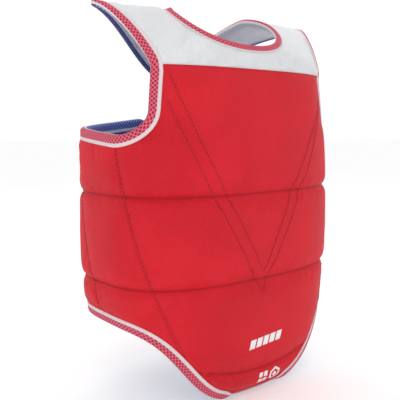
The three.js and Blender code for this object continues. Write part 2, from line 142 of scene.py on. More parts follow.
def over(x, run):
    """Points of the yoke's outer face: x across the shoulders, run from the front seam."""
    x, run = np.broadcast_arrays(np.asarray(x, float), np.asarray(run, float))
    ahead = run <= SHOULDER_RUN
    t = np.where(ahead, run / SHOULDER_RUN, 2 - run / SHOULDER_RUN)
    power = np.where(ahead, FRONT_POWER, BACK_POWER)
    seam = np.full(x.shape, YOKE_SEAM)
    depth = np.where(ahead, -measure(seam, 2), measure(seam, 3))
    swell = np.sin(t * np.pi / 2) ** 2
    section = x * (1 - SHOULDER_FILL * swell)
    share = np.clip(1 - np.abs(section / measure(seam, 1)) ** power, 1e-6, None)
    seam_y = measure(seam, 4) + depth * share ** (1 / power)
    y = (1 - t) ** 2 * (1 + 2 * t) * seam_y
    y = y + 3 * (1 - t) * t * t * mix(SHOULDER_Y, seam_y, TOP_BEND) + t**3 * SHOULDER_Y
    z = (1 - t) ** 3 * YOKE_SEAM + 3 * (1 - t) ** 2 * t * (YOKE_SEAM + SEAM_BEND)
    return np.stack([x * (1 + SHOULDER_FLARE * swell), y, z], -1)


def crowded(count, pull=0.62):
    """Even shares from 0 to 1, drawn towards both ends, so that a groove there is sharp."""
    share = np.linspace(0, 1, count)
    return share - pull / (2 * np.pi) * np.sin(2 * np.pi * share)


def unit(v):
    return v / np.maximum(np.linalg.norm(v, axis=-1, keepdims=True), 1e-12)


def travelled(points):
    """The distance gone along a line, at each of its points."""
    return join([[0], np.cumsum(np.linalg.norm(np.diff(points, axis=0), axis=1))])


def looked_up(at, gone, values):
    """Rows of values, looked up at distances along a line."""
    return np.stack([np.interp(at, gone, values[:, k]) for k in range(3)], -1)


def mirrored(line):
    return line * np.array([-1, 1, 1])


def slopes(surface, u, v, step=0.05):
    across = (surface(u + step, v) - surface(u - step, v)) / (2 * step)
    along = (surface(u, v + step) - surface(u, v - step)) / (2 * step)
    return across, along


def outward(surface, u, v):
    return unit(np.cross(*slopes(surface, u, v)))


def hem_at(turn):
    return HEM_MIDDLE + HEM_HALF * np.tanh((np.abs(turn) - HEM_TURN) / HEM_SPREAD)


def hem_turn(z):
    return HEM_TURN + HEM_SPREAD * np.arctanh((z - HEM_MIDDLE) / HEM_HALF)


def side_seam(z):
    drop = ARMHOLE_LOW_Z - z
    return ARMHOLE_LOW_TURN - SIDE_SLANT * drop - SIDE_BOW * drop * drop


def fold_line(z):
    return FOLD_TURN + (z - ARMHOLE_LOW_Z) * FOLD_SLANT


def under_arm(turn):
    return ARMHOLE_LOW_Z + (turn - ARMHOLE_LOW_TURN) * ARMHOLE_SLOPE


def corner_drop(turn):
    share = np.maximum(turn - (WING_END - CORNER_TURN), 0) / CORNER_TURN
    return CORNER * (1 - np.sqrt(np.maximum(1 - share * share, 0)))


def wing_top(turn):
    return under_arm(turn) - corner_drop(turn)


def wing_hem(turn):
    return hem_at(turn) + corner_drop(turn)


def armhole(share):
    """The armhole's front edge from its lowest point up to the yoke seam."""
    bend = 0.52
    angle = (1 - np.minimum(share / bend, 1)) * np.pi / 2
    z = ARMHOLE_STRAIGHT + (ARMHOLE_LOW_Z - ARMHOLE_STRAIGHT) * np.sin(angle)
    turn = ARMHOLE_TURN + (ARMHOLE_LOW_TURN - ARMHOLE_TURN) * (1 - np.cos(angle))
    rise = np.maximum(share - bend, 0) / (1 - bend)
    return turn, z + rise * (YOKE_SEAM - ARMHOLE_STRAIGHT)


def bezier(points, t):
    """A quadratic or cubic curve through plane points."""
    points = [np.asarray(p, float) for p in points]
    t = np.asarray(t, float)[..., None]
    while len(points) > 1:
        points = [mix(a, b, t) for a, b in zip(points, points[1:])]
    return points[0]


STRAP_FOOT_X = float(wrap(ARMHOLE_TURN, YOKE_SEAM)[0])
NECK_FRONT = [(NECK_TOP_X, SHOULDER_RUN), (116, 108), (90, NECK_FRONT_RUN - 1), (0, NECK_FRONT_RUN)]
NECK_BACK = [(NECK_TOP_X, SHOULDER_RUN), (64, 200), (40, NECK_BACK_RUN), (0, NECK_BACK_RUN)]
STRAP_FRONT = [(STRAP_TOP_X, SHOULDER_RUN), (STRAP_FOOT_X + 9, 60), (STRAP_FOOT_X, 0)]
STRAP_BACK = [(STRAP_TOP_X, SHOULDER_RUN), (STRAP_TOP_X - 6, 170), (98, 226), (TAB_X, TAB_RUN)]


def yoke_edge(half, strap_share, share):
    """A full edge of the yoke, from the right shoulder to the left."""
    share = np.asarray(share, float)
    side = np.where(share < 0.5, RIGHT, LEFT)
    along = 1 - np.abs(2 * share - 1)
    at = bezier(half, np.minimum(along / strap_share, 1))
    level = np.clip((along - strap_share) / max(1 - strap_share, 1e-9), 0, 1)
    return side * at[..., 0] * (1 - level), at[..., 1]


# ---- shapes from grids


def finer(grid, closed=False):
    """A grid with twice the cells each way, smoothed as a subdivision surface is."""
    for axis, wraps in ((0, False), (1, closed)):
        g = np.moveaxis(grid, axis, 0)
        after = np.roll(g, -1, 0)
        even, odd = (np.roll(g, 1, 0) + 6 * g + after) / 8, (g + after) / 2
        if not wraps:
            even[[0, -1]] = g[[0, -1]]
        made = np.stack([even, odd], 1).reshape(-1, *g.shape[1:])
        grid = np.moveaxis(made if wraps else made[:-1], 0, axis)
    return grid


def distance_to(points, line):
    """From each point to the nearest point of a line given as closely spaced points."""
    flat = points.reshape(-1, 3)
    found = np.empty(len(flat))
    for start in range(0, len(flat), 4000):
        part = flat[start : start + 4000]
        square = (part**2).sum(1)[:, None] + (line**2).sum(1)[None] - 2 * part @ line.T
        found[start : start + 4000] = np.sqrt(np.maximum(square.min(1), 0))
    return found.reshape(points.shape[:-1])


def dense(points, step=0.8):
    """A line's points, resampled at an even step."""
    gone = travelled(points)
    at = np.linspace(0, gone[-1], max(int(gone[-1] / step), 2) + 1)
    return looked_up(at, gone, points)


def sunk(points, seams):
    """How deep the skin lies below its full height, from seams of (line, ledge, depth, width):
    flat for a ledge beside the seam, then rising over the width as a stuffed panel does."""
    deep = np.zeros(points.shape[:-1])
    for line, ledge, depth, width in seams:
        gone = np.clip((distance_to(points, line) - ledge) / width, 0, 1)
        deep = np.maximum(deep, depth * (1 - gone) ** 2.4)
    return deep


def bent(distance, amount, reach):
    """How far an edge is turned in (or out, for a negative amount) at a distance from it."""
    share = np.clip(1 - distance / reach, 0, 0.97)
    return amount * (1 - np.sqrt(1 - share**2))


def flap_share(turn):
    """1 along the middle of the flap's hem, falling to 0 before its corners."""
    t = np.clip((32 - np.abs(turn)) / 11, 0, 1)
    return t * t * (3 - 2 * t)


def faces_of_grid(rows, cols, closed):
    r, c = np.meshgrid(np.arange(rows - 1), np.arange(cols if closed else cols - 1), indexing="ij")
    n = (c + 1) % cols
    quads = np.stack([r * cols + c, r * cols + n, (r + 1) * cols + n, (r + 1) * cols + c], -1)
    return quads.reshape(-1, 4)


def new_mesh(name, verts, faces, uv=None, materials=(), slots=None, seam_shades=None):
    """An object from millimetre vertices. uv holds one pair for each corner of each face."""
    mesh = bpy.data.meshes.new(name)
    mesh.from_pydata((np.asarray(verts) * MM).tolist(), [], [list(map(int, f)) for f in faces])
    if uv is not None:
        layer = mesh.uv_layers.new(name="UVMap")
        layer.data.foreach_set("uv", np.asarray(uv, np.float32).ravel())
    for material in materials:
        mesh.materials.append(material)
    if slots is not None:
        mesh.polygons.foreach_set("material_index", np.asarray(slots, np.int32))
    # The painted seam shade, one value for each vertex, kept as an attribute that the cloth's
    # material reads.
    if seam_shades is not None:
        layer = mesh.attributes.new("seam_shade", "FLOAT", "POINT")
        layer.data.foreach_set("value", np.asarray(seam_shades, np.float32))
    mesh.polygons.foreach_set("use_smooth", [True] * len(mesh.polygons))
    mesh.update()
    made = bpy.data.objects.new(name, mesh)
    bpy.context.scene.collection.objects.link(made)
    return made


def shell(name, outer, inner, materials, seam_shades, closed=False, top_slot=0):
    """A closed quilted panel from its outer and inner faces, with a rim between them. top_slot is
    the material of the rim along the last row."""
    rows, cols = outer.shape[:2]
    count = rows * cols
    grid = faces_of_grid(rows, cols, closed)
    step = np.linalg.norm(np.diff(outer, axis=1), axis=-1)
    across = join([np.zeros((rows, 1)), np.cumsum(step, 1)], 1)
    across = across - across[:, cols // 2 : cols // 2 + 1]
    rise = np.linalg.norm(np.diff(outer, axis=0), axis=-1).mean(1)
    up = np.repeat(join([[0], np.cumsum(rise)])[:, None], cols, 1)
    flat = np.stack([across, up], -1).reshape(-1, 2) * MM
    ids = np.arange(count).reshape(rows, cols)
    first, last = list(ids[0]), list(ids[-1, ::-1])
    edges = [first, last, list(ids[:, -1]), list(ids[::-1, 0])]
    if closed:
        edges = [first + first[:1], last[-1:] + last]
    rim, rim_slots = [], []
    for k, line in enumerate(edges):
        rim += [(b, a, a + count, b + count) for a, b in zip(line, line[1:])]
        rim_slots += [top_slot if k == 1 else 0] * (len(line) - 1)
    faces = join([grid, grid[:, ::-1] + count, np.array(rim)])
    uv = join([flat, flat])[faces]
    slots = join([np.zeros(len(grid)), np.ones(len(grid)), rim_slots])
    verts = join([outer.reshape(-1, 3), inner.reshape(-1, 3)])
    # The painted seam shade, the same on the outer and inner faces.
    wear_and_seam_shade = join([seam_shades.ravel(), seam_shades.ravel()])
    return new_mesh(name, verts, faces, uv, materials, slots, wear_and_seam_shade)


# ---- cloth

CLOTH_FRAMES = 20
CLOTH = {
    "quality": 6,
    "mass": 0.25,
    "tension_stiffness": 12,
    "compression_stiffness": 12,
    "shear_stiffness": 6,
    "bending_stiffness": 0.35,
    "vertex_group_mass": "pinned",
    "use_pressure": True,
}


def inflate(grid, pinned, pressure, growth, cap, closed=False):
    """Swells a skin between its pinned seams with a cloth simulation, and caps how far it moves."""
    rows, cols = grid.shape[:2]
    obj = new_mesh("skin_in_work", grid.reshape(-1, 3), faces_of_grid(rows, cols, closed))
    group = obj.vertex_groups.new(name="pinned")
    group.add([int(i) for i in np.flatnonzero(pinned.ravel())], 1.0, "REPLACE")
    cloth = obj.modifiers.new("Cloth", "CLOTH")
    values = {**CLOTH, "uniform_pressure_force": pressure, "shrink_min": -growth}
    for key, value in values.items():
        setattr(cloth.settings, key, value)
    cloth.settings.effector_weights.gravity = 0
    cloth.collision_settings.use_collision = False
    cloth.collision_settings.use_self_collision = False
    cloth.point_cache.frame_start = 1
    cloth.point_cache.frame_end = CLOTH_FRAMES
    scene = bpy.context.scene
    for step in range(1, CLOTH_FRAMES + 1):
        scene.frame_set(step)
    made = obj.evaluated_get(bpy.context.evaluated_depsgraph_get()).to_mesh()
    where = np.empty(len(made.vertices) * 3)
    made.vertices.foreach_get("co", where)
    moved = where.reshape(grid.shape) / MM - grid
    far = np.linalg.norm(moved, axis=-1, keepdims=True)
    bpy.data.objects.remove(obj, do_unlink=True)
    scene.frame_set(1)
    return grid + moved * np.tanh(far / cap) * cap / np.maximum(far, 1e-9)


# ---- materials


class Nodes:
    """A material's node tree, with short calls for the nodes used here."""

    def __init__(self, name):
        self.material = bpy.data.materials.new(name)
        self.material.use_nodes = True
        self.tree = self.material.node_tree
        self.tree.nodes.clear()
        self.out = self.tree.nodes.new("ShaderNodeOutputMaterial")
        self.shader = self.tree.nodes.new("ShaderNodeBsdfPrincipled")
        self.tree.links.new(self.shader.outputs[0], self.out.inputs["Surface"])

    def put(self, socket, value):
        if isinstance(value, bpy.types.NodeSocket):
            self.tree.links.new(value, socket)
        elif isinstance(value, (tuple, list)) and len(value) == 3 and socket.type == "RGBA":
            socket.default_value = (*value, 1)
        else:
            socket.default_value = value

    def add(self, kind, values=None):
        """A new node, with inputs set by number or name."""
        node = self.tree.nodes.new("ShaderNode" + kind)
        for key, value in (values or {}).items():
            self.put(node.inputs[key], value)
        return node

    def math(self, operation, a, b=0.0, clamp=False):
        node = self.add("Math", {0: a, 1: b})
        node.operation = operation
        node.use_clamp = clamp
        return node.outputs[0]

    def times(self, a, b, clamp=False):
        return self.math("MULTIPLY", a, b, clamp)

    def wave(self, along, length):
        return self.math("SINE", self.times(along, 2 * math.pi / length))

    def ramp(self, value, low, high, to_low=0.0, to_high=1.0):
        given = {"Value": value, "From Min": low, "From Max": high}
        node = self.add("MapRange", {**given, "To Min": to_low, "To Max": to_high})
        node.interpolation_type = "SMOOTHSTEP"
        return node.outputs[0]

    def blend(self, factor, a, b):
        node = self.add("Mix")
        node.data_type = "RGBA"
        for key, value in ((0, factor), (6, a), (7, b)):
            self.put(node.inputs[key], value)
        return node.outputs[2]

    def noise(self, where, scale, detail=3.0, rough=0.55):
        given = {"Vector": where, "Scale": scale, "Detail": detail, "Roughness": rough}
        return self.add("TexNoise", given).outputs[0]

    def split(self, vector):
        return self.add("SeparateXYZ", {0: vector}).outputs

    def uv(self):
        node = self.add("UVMap")
        node.uv_map = "UVMap"
        parts = self.split(node.outputs[0])
        return parts[0], parts[1]

    def place(self):
        return self.add("TexCoord").outputs["Object"]

    def attribute(self, name):
        node = self.add("Attribute")
        node.attribute_name = name
        return node.outputs["Fac"]

    def bump(self, height, distance, strength=1.0, normal=None):
        given = {"Strength": strength, "Distance": distance, "Height": height}
        if normal is not None:
            given["Normal"] = normal
        return self.add("Bump", given).outputs[0]

    def finish(self, colour, roughness, normal=None, sheen=0.0, specular=0.4, tint=(1, 1, 1)):
        given = {
            "Base Color": colour,
            "Roughness": roughness,
            "Specular IOR Level": specular,
            "Sheen Weight": sheen,
            "Sheen Roughness": 0.4,
            "Sheen Tint": tint,
        }
        if normal is not None:
            given["Normal"] = normal
        for name, value in given.items():
            self.put(self.shader.inputs[name], value)
        return self.material


def canvas(name, base, dark, light, seam, pitch=0.0013, roughness=0.55, sheen=0.02, crumple=0.0):
    """Close canvas: a fine plain weave, a slow change of tone, and seams darkened by painted shade.
    """
    n = Nodes(name)
    u, v = n.uv()
    where = n.place()
    weave = n.times(n.wave(u, pitch), n.wave(v, pitch))
    slow = n.noise(where, 9.0, 4.0)
    fine = n.noise(where, 420.0, 2.0)
    shade = n.blend(n.ramp(slow, 0.35, 0.68), dark, light)
    shade = n.blend(0.55, shade, base)
    threads = n.blend(n.ramp(weave, -0.9, 0.9), dark, light)
    shade = n.blend(0.22, shade, threads)
    grain = n.noise(where, 640.0, 2.0, 0.7)
    shade = n.blend(n.times(n.ramp(grain, 0.5, 0.7), 0.45), shade, dark)
    shade = n.blend(n.times(n.ramp(fine, 0.5, 0.72), 0.4), shade, light)
    # Painted shade: the seam attribute darkens the cloth towards the seam colour along seams and
    # topstitch grooves.
    seam_shade = n.attribute("seam_shade")
    shade = n.blend(n.times(seam_shade, 0.8, clamp=True), shade, seam)
    normal = n.bump(weave, 0.00025, 0.6)
    normal = n.bump(fine, 0.0005, 0.5, normal)
    normal = n.bump(n.noise(where, 90.0, 3.0), 0.0012, 0.35, normal)
    if crumple:
        normal = n.bump(n.noise(where, 34.0, 3.0, 0.45), crumple, 1.0, normal)
    rough = n.ramp(slow, 0.3, 0.7, roughness - 0.05, roughness + 0.07)
    return n.finish(shade, rough, normal, sheen, 0.2, light)


DOTS_ACROSS, DOTS_ALONG = 6.4, 5.8


def tape(name, band, ground_inside, mark_inside):
    """Braided binding: a white border as wide as the band, staggered dots and a white brim, with
    its own colours inside."""
    n = Nodes(name)
    u, v = n.uv()
    u = n.times(u, 1000.0)
    v = n.times(v, 1000.0)
    inside = n.ramp(u, INSIDE_UV - 0.1, INSIDE_UV)
    leg = n.math("SUBTRACT", u, n.times(inside, INSIDE_UV))
    brim = n.attribute("brim")
    a, b = n.times(brim, math.pi / DOTS_ACROSS), n.times(v, math.pi / DOTS_ALONG)
    lattice = n.times(n.math("SINE", n.math("ADD", a, b)), n.math("SINE", n.math("SUBTRACT", a, b)))
    lattice = n.times(lattice, lattice)
    dots = n.ramp(lattice, 0.07, 0.22)
    ground = n.blend(inside, (0.8, 0.17, 0.24), ground_inside)
    mark = n.blend(inside, (0.46, 0.01, 0.05), mark_inside)
    braid = n.blend(dots, ground, mark)
    white = n.blend(inside, (0.86, 0.74, 0.76), (0.78, 0.8, 0.86))
    where = n.place()
    wear_and_seam_shade = n.noise(where, 60.0, 4.0)
    white = n.blend(n.times(wear_and_seam_shade, 0.25), white, (0.7, 0.6, 0.62))
    on = n.times(n.ramp(leg, band - 0.2, band + 0.2), n.ramp(brim, 1.5, 1.9))
    colour = n.blend(on, white, braid)
    normal = n.bump(n.times(n.wave(v, 0.9), n.wave(leg, 1.1)), 0.00025, 0.6)
    normal = n.bump(n.times(on, dots), 0.00035, 0.8, normal)
    starts, ends = (n.ramp(leg, band - far - 0.15, band - far + 0.15) for far in (1.5, 0.7))
    sewn = n.math("SUBTRACT", starts, ends, clamp=True)
    stitch = n.times(sewn, n.ramp(n.wave(v, 3.2), -0.3, 0.0))
    colour = n.blend(n.times(stitch, 0.5), colour, (0.6, 0.45, 0.47))
    normal = n.bump(stitch, 0.0003, 0.7, normal)
    return n.finish(colour, n.ramp(wear_and_seam_shade, 0.3, 0.7, 0.62, 0.75), normal, 0.05, 0.25)


def thread(name, base, light):
    n = Nodes(name)
    where = n.place()
    twist = n.noise(where, 900.0, 2.0)
    colour = n.blend(n.ramp(twist, 0.35, 0.65), base, light)
    return n.finish(colour, 0.6, n.bump(twist, 0.0002, 0.5), 0.2)


def webbing(name, base, dark):
    """Flat woven webbing, ribbed across."""
    n = Nodes(name)
    where = n.place()
    parts = n.split(where)
    weave = n.times(n.wave(parts[2], 0.0016), n.wave(parts[0], 0.0012))
    wear_and_seam_shade = n.noise(where, 150.0, 4.0)
    colour = n.blend(n.ramp(weave, -0.7, 0.7), dark, base)
    colour = n.blend(n.times(wear_and_seam_shade, 0.3), colour, dark)
    return n.finish(colour, 0.75, n.bump(weave, 0.0003, 0.7), 0.2)


def print_ink(name):
    """White ink, thin enough that the weave shows through it."""
    n = Nodes(name)
    where = n.place()
    grain = n.noise(where, 700.0, 3.0)
    wear_and_seam_shade = n.ramp(n.noise(where, 120.0, 5.0), 0.62, 0.74)
    colour = n.blend(n.times(wear_and_seam_shade, 0.3), (0.88, 0.87, 0.87), (0.8, 0.45, 0.47))
    return n.finish(colour, 0.5, n.bump(grain, 0.0002, 0.5), 0.0)


# Cloths as (base, dark, light, seam); seam is the painted shade laid along the seams' grooves.
RED = ((0.69, 0.009, 0.022), (0.52, 0.004, 0.013), (0.8, 0.02, 0.036), (0.2, 0.001, 0.004))
BLUE = ((0.022, 0.035, 0.3), (0.012, 0.018, 0.17), (0.04, 0.06, 0.4), (0.005, 0.006, 0.06))
WHITE = ((0.86, 0.87, 0.885), (0.74, 0.755, 0.79), (0.92, 0.925, 0.93), (0.4, 0.36, 0.38))
RED_CLOTH = canvas("red_canvas", *RED)
BLUE_CLOTH = canvas("blue_canvas", *BLUE)
WHITE_CLOTH = canvas(
    "white_canvas", *WHITE, pitch=0.0011, roughness=0.5, sheen=0.05, crumple=0.004
)
RED_THREAD = thread("red_thread", (0.12, 0.001, 0.004), (0.2, 0.003, 0.008))
INK = print_ink("white_ink")
LOOP_WEB = webbing("loop_webbing", (0.8, 0.8, 0.81), (0.6, 0.6, 0.63))


# ---- panels

TAPE_LEDGE, TAPE_LEG, NECK_LEDGE = 14.0, 13.0, 10.0
FREE_DEPTH, YOKE_DEPTH = 3.0, 1.4
SEAM_LAP, PIN_REACH = 0.2, 2.6
SIDE_MM_PER_TURN, FOLD_MM_PER_TURN = 3.2, 3.6
CHEST_TOP = -198.0
FLAP_CORNER_TURN = 46.2
INNER_SINK, INNER_PUFF = 0.85, 0.6  # the inner face's share of the outer's grooves and swelling
# The painted seam shade: its half width, the seam depth at which it is full, and the ledge below
# which a seam gets it.
CREASE_HALF, DEEP_SEAM, LEDGED = 1.4, 6.2, 5.0
TOPSTITCH_HALF, TOPSTITCH_DEPTH = 2.2, 0.9
BODY_PUFF = (5.0, 0.012, 3.0)  # pressure, growth of the cloth and the most it moves
YOKE_PUFF = (3.0, 0.03, 3.2)
FLAP_STITCH, FLAP_BOW = FLAP_SEAM + 2.0, 0.0085
FLAP_CURL, FLAP_REACH = 8.0, 20.0
NECK_RISE, NECK_REACH = -5.0, 14.0


def seam_line(turn, z):
    return dense(wrap(turn, z))


def level_seam(z):
    return seam_line(np.linspace(-170, 170, 400), z)


def edge_line(start, end, height):
    """A line between two turns, at the height that a function gives."""
    turns = mix(start, end, SHARES)
    return seam_line(turns, height(turns))


SHARES = np.linspace(0, 1, 120)
SEAM_ROWS = np.linspace(FLAP_SEAM, ARMHOLE_LOW_Z, 120)
FOLD_ROWS = np.linspace(-452, -172, 120)
FLAP_TURNS = np.linspace(-54, 54, 200)
LINES = {
    "yoke": level_seam(YOKE_SEAM),
    "chest": level_seam(CHEST_SEAM),
    "waist": level_seam(WAIST_SEAM),
    "flap": seam_line(FLAP_TURNS, FLAP_STITCH + FLAP_BOW * FLAP_TURNS**2),
    "side": seam_line(side_seam(SEAM_ROWS), SEAM_ROWS),
    "fold": seam_line(fold_line(FOLD_ROWS), FOLD_ROWS),
    "armhole": seam_line(*armhole(SHARES)),
    "underarm": edge_line(80, WING_END, wing_top),
    "hem": edge_line(FLAP_CORNER_TURN, WING_END, wing_hem),
    "flap_hem": edge_line(-FLAP_CORNER_TURN, FLAP_CORNER_TURN, hem_at),
    "end": seam_line(WING_END, mix(wing_hem(WING_END), wing_top(WING_END), SHARES)),
}
# Seams as (line, ledge, depth, width), as sunk takes them.
CHEST_GROOVE, WAIST_GROOVE = (LINES["chest"], 0.3, 5.2, 18), (LINES["waist"], 0.3, 5.4, 18)


def taped(line, width):
    """The groove beside an edge that a tape binds."""
    return line, TAPE_LEDGE, FREE_DEPTH, width


def slim(line):
    """The groove of a seam that is sewn flat."""
    return line, 0.2, 1.5, 8


def quilted(nominal, out, seams, thick, pinned, puff, turned=0, closed=False):
    """The outer and inner faces of a padded panel, and how near each point is to a seam, as the
    strength of the painted shade in the seam's groove. turned is how far in each point goes with an
    edge that is turned under."""
    deep = sunk(nominal, seams)
    outer = nominal - out * deep[..., None]
    outer = inflate(outer, pinned, *puff, closed)
    inner = nominal - out * (thick - INNER_SINK * deep)[..., None]
    inner = inner - (outer - nominal + out * deep[..., None]) * INNER_PUFF
    under = out * np.asarray(turned)[..., None]
    outer, inner = outer - under, inner - under
    # Painted shade: a narrow dark line along each sewn seam, stronger for deeper seams, where the
    # groove is shaded.
    wear_and_seam_shade = np.zeros(deep.shape)
    for line, ledge, depth, _ in seams:
        if ledge < LEDGED:
            close = np.exp(-((distance_to(nominal, line) / CREASE_HALF) ** 2))
            wear_and_seam_shade = np.maximum(wear_and_seam_shade, close * min(depth / DEEP_SEAM, 1) ** 1.3)
    return finer(outer, closed), finer(inner, closed), finer(wear_and_seam_shade[..., None], closed)[..., 0]


def front_grid():
    """Places of the front panel and the flap below it: rows from the hem up, columns from the
    wearer's right to their left."""
    across = np.linspace(-1, 1, 105)
    eased = mix(across, np.sin(across * np.pi / 2), 0.35)
    rows = []

    def block(count, centre, edge):
        for share in crowded(count + 1)[1:]:
            turn, z = edge(share)
            rows.append((turn * eased, mix(mix(*centre, share), z, np.abs(across) ** 3)))

    def side(low, high):
        return lambda share: (side_seam(mix(low, high, share)), mix(low, high, share))

    for share in crowded(15, 0.3):
        low = hem_at(HEM_CORNER * eased)
        half = hem_turn(mix(hem_at(HEM_CORNER), FLAP_SEAM, share))
        rows.append((half * eased, mix(low, FLAP_SEAM, share)))
    block(30, (FLAP_SEAM, WAIST_SEAM), side(FLAP_SEAM, WAIST_SEAM))
    block(26, (WAIST_SEAM, CHEST_SEAM), side(WAIST_SEAM, CHEST_SEAM))
    block(14, (CHEST_SEAM, CHEST_TOP), side(CHEST_SEAM, ARMHOLE_LOW_Z))
    block(22, (CHEST_TOP, YOKE_SEAM + SEAM_LAP), armhole)
    turn = np.array([row[0] for row in rows])
    return turn, np.array([row[1] for row in rows])


def lapped(turn, z):
    """Draws the outer columns of a grid a little past the seam, so that no light comes through."""
    out = turn.copy()
    out[:, 0] -= SEAM_LAP / SIDE_MM_PER_TURN
    out[:, -1] += SEAM_LAP / SIDE_MM_PER_TURN
    return out, z


def near(points, line, reach):
    return distance_to(points, line) < reach


def pinned_along(points, seams):
    """Which points of a grid a simulation holds: those of its rim and of the seams."""
    held = np.zeros(points.shape[:2], bool)
    for line, ledge, _, _ in seams:
        held |= near(points, line, max(ledge, PIN_REACH))
    held[[0, -1]] = True
    held[:, [0, -1]] = True
    return held


def front_shell():
    turn, z = lapped(*front_grid())
    nominal, out = wrap(turn, z), outward(wrap, turn, z)
    seams = [
        (LINES["yoke"], 0, 2.2, 14),
        CHEST_GROOVE,
        WAIST_GROOVE,
        (LINES["flap"], 0.3, 4.6, 9),
        taped(LINES["flap_hem"], 10),
    ]
    sides = [slim(LINES["side"]), taped(LINES["armhole"], 13), taped(LINES["hem"], 12)]
    for line, *shape in sides:
        seams += [(line, *shape), (mirrored(line), *shape)]
    pinned = pinned_along(nominal, seams)
    away = distance_to(nominal, LINES["flap_hem"])
    curl = bent(away, FLAP_CURL * flap_share(turn), FLAP_REACH)
    outer, inner, wear_and_seam_shade = quilted(nominal, out, seams, PAD, pinned, BODY_PUFF, curl)
    full = outward_of_grid(outer)
    groove = np.zeros(outer.shape[:2])
    for line in CHEVRONS:
        groove = np.maximum(groove, np.exp(-((distance_to(outer, line) / TOPSTITCH_HALF) ** 2)))
    outer = outer - full * (TOPSTITCH_DEPTH * groove)[..., None]
    cloths = [RED_CLOTH, BLUE_CLOTH]
    # The chevrons' topstitch grooves get a lighter painted shade as well as the seams.
    made = shell("front_panel", outer, inner, cloths, np.maximum(wear_and_seam_shade, 0.3 * groove**3), top_slot=1)
    flap = ["flap_pad", "flap_cover", "flap_lining"]
    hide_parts(*[f"front_pad_{row}" for row in ROWS], "front_cover", "front_lining", *flap)
    bend_at_flap(made)
    return tree_of(outer)


def outward_of_grid(grid):
    return unit(np.cross(np.gradient(grid, axis=1), np.gradient(grid, axis=0)))


def chevron(tip_z, left, right):
    """A V of topstitching: its tip, and how each arm rises with degrees from the tip."""
    tip, limit = -3.0, ARMHOLE_TURN - 4.6
    arms = []
    for side, (slope, bend), reach in ((RIGHT, right, 57.0), (LEFT, left, 62.0)):
        gone = np.linspace(0, reach, 200)
        z = tip_z + slope * gone + bend * gone**2
        turn = tip + side * gone
        keep = (np.abs(turn) < limit) & (z < YOKE_SEAM - 4)
        arms.append(seam_line(turn[keep], z[keep]))
    return arms


CHEVRONS = chevron(-384.0, (5.6, -0.022), (3.4, 0.032)) + chevron(-414.0, (4.9, 0.0), (3.0, 0.038))


def bend_at_flap(piece):
    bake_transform(piece)


def side_grid():
    """Places of the left side and wing together: rows from the hem up, columns from the side seam
    back to the laced end."""
    side = crowded(31, 0.4)
    wing = crowded(45, 0.4)[1:]
    waist, chest = (lambda turn, z=z: np.full_like(turn, z) for z in (WAIST_SEAM, CHEST_SEAM))
    blocks = ((24, wing_hem, waist), (26, waist, chest), (18, chest, wing_top))
    turns, heights = [], []
    for at, (count, bottom, top) in enumerate(blocks):
        up = crowded(count + 1)[(1 if at else 0) :, None]
        z = np.repeat(mix(bottom(np.array([100.0])), top(np.array([100.0])), up), 75, 1)
        for _ in range(60):
            seam, fold = side_seam(z), fold_line(z)
            turn = join(
                [mix(seam[:, :31], fold[:, :31], side), mix(fold[:, 31:], WING_END, wing)], 1
            )
            z = mix(z, mix(bottom(turn), top(turn), up), 0.5)
        turns.append(turn)
        heights.append(z)
    return join(turns), join(heights)


def side_skins():
    turn, z = lapped(*side_grid())
    nominal, out = wrap(turn, z), outward(wrap, turn, z)
    seams = [
        CHEST_GROOVE,
        WAIST_GROOVE,
        *[slim(LINES[name]) for name in ("side", "fold")],
        *[taped(LINES[name], 13) for name in ("underarm", "hem", "end")],
    ]
    return quilted(nominal, out, seams, PAD, pinned_along(nominal, seams), BODY_PUFF)


def flipped(grid):
    """A grid mirrored to the wearer's right, its columns turned round so that it faces out."""
    return mirrored(grid)[:, ::-1]


FOLD_AXIS = {
    side: next(j for j in frame["joints"] if j["name"] == f"wing_{WORDS[side]}_fold")
    for side in (RIGHT, LEFT)
}


def bend_at_fold(piece, side):
    """Works out the axis of a wing's fold hinge and the way back square to it, then only bakes the
    piece's transform: the piece is not bent.
    """
    joint = FOLD_AXIS[side]
    axis = Vector(joint["axis"]).normalized()
    back = Vector((0, 1, 0))
    back = (back - axis * back.dot(axis)).normalized()
    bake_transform(piece)


def side_shell(side, outer, inner, wear_and_seam_shade):
    word = WORDS[side]
    if side == RIGHT:
        outer, inner, wear_and_seam_shade = flipped(outer), flipped(inner), wear_and_seam_shade[:, ::-1]
    made = shell(f"side_panel_{word}", outer, inner, [RED_CLOTH, BLUE_CLOTH], wear_and_seam_shade)
    pads = [f"{part}_{word}_pad_{row}" for part in ("side", "wing") for row in ROWS]
    skins = [f"{part}_{skin}_{word}" for part in ("side", "wing") for skin in ("cover", "lining")]
    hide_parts(*pads, *skins)
    bend_at_fold(made, side)
    return tree_of(outer)


def bend_at_shoulder(piece):
    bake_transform(piece)


STRAP_CREASES = [  # from (x, run) to (x, run), depth, half width
    ((162, 8), (118, 100), 2.0, 7),
    ((150, 4), (96, 72), 1.5, 6),
    ((176, 30), (140, 128), 1.6, 8),
    ((128, 3), (70, 40), 1.1, 6),
    ((168, 178), (120, 205), 1.6, 8),
]


def strap_creases(x, run):
    """Soft creases fanning out from the foot of each strap, as depths below the cloth."""
    deep = np.zeros(x.shape)
    for side in (RIGHT, LEFT):
        at = np.stack([side * x, run], -1)
        for start, end, depth, half in STRAP_CREASES:
            start, end = np.array(start, float), np.array(end, float)
            line = end - start
            share = np.clip(((at - start) @ line) / (line @ line), 0, 1)
            gap = np.linalg.norm(at - start - share[..., None] * line, axis=-1)
            fade = np.sin(np.pi * np.clip(share, 0.02, 0.98)) ** 0.7
            deep = deep + depth * fade * np.exp(-((gap / half) ** 2))
    return deep


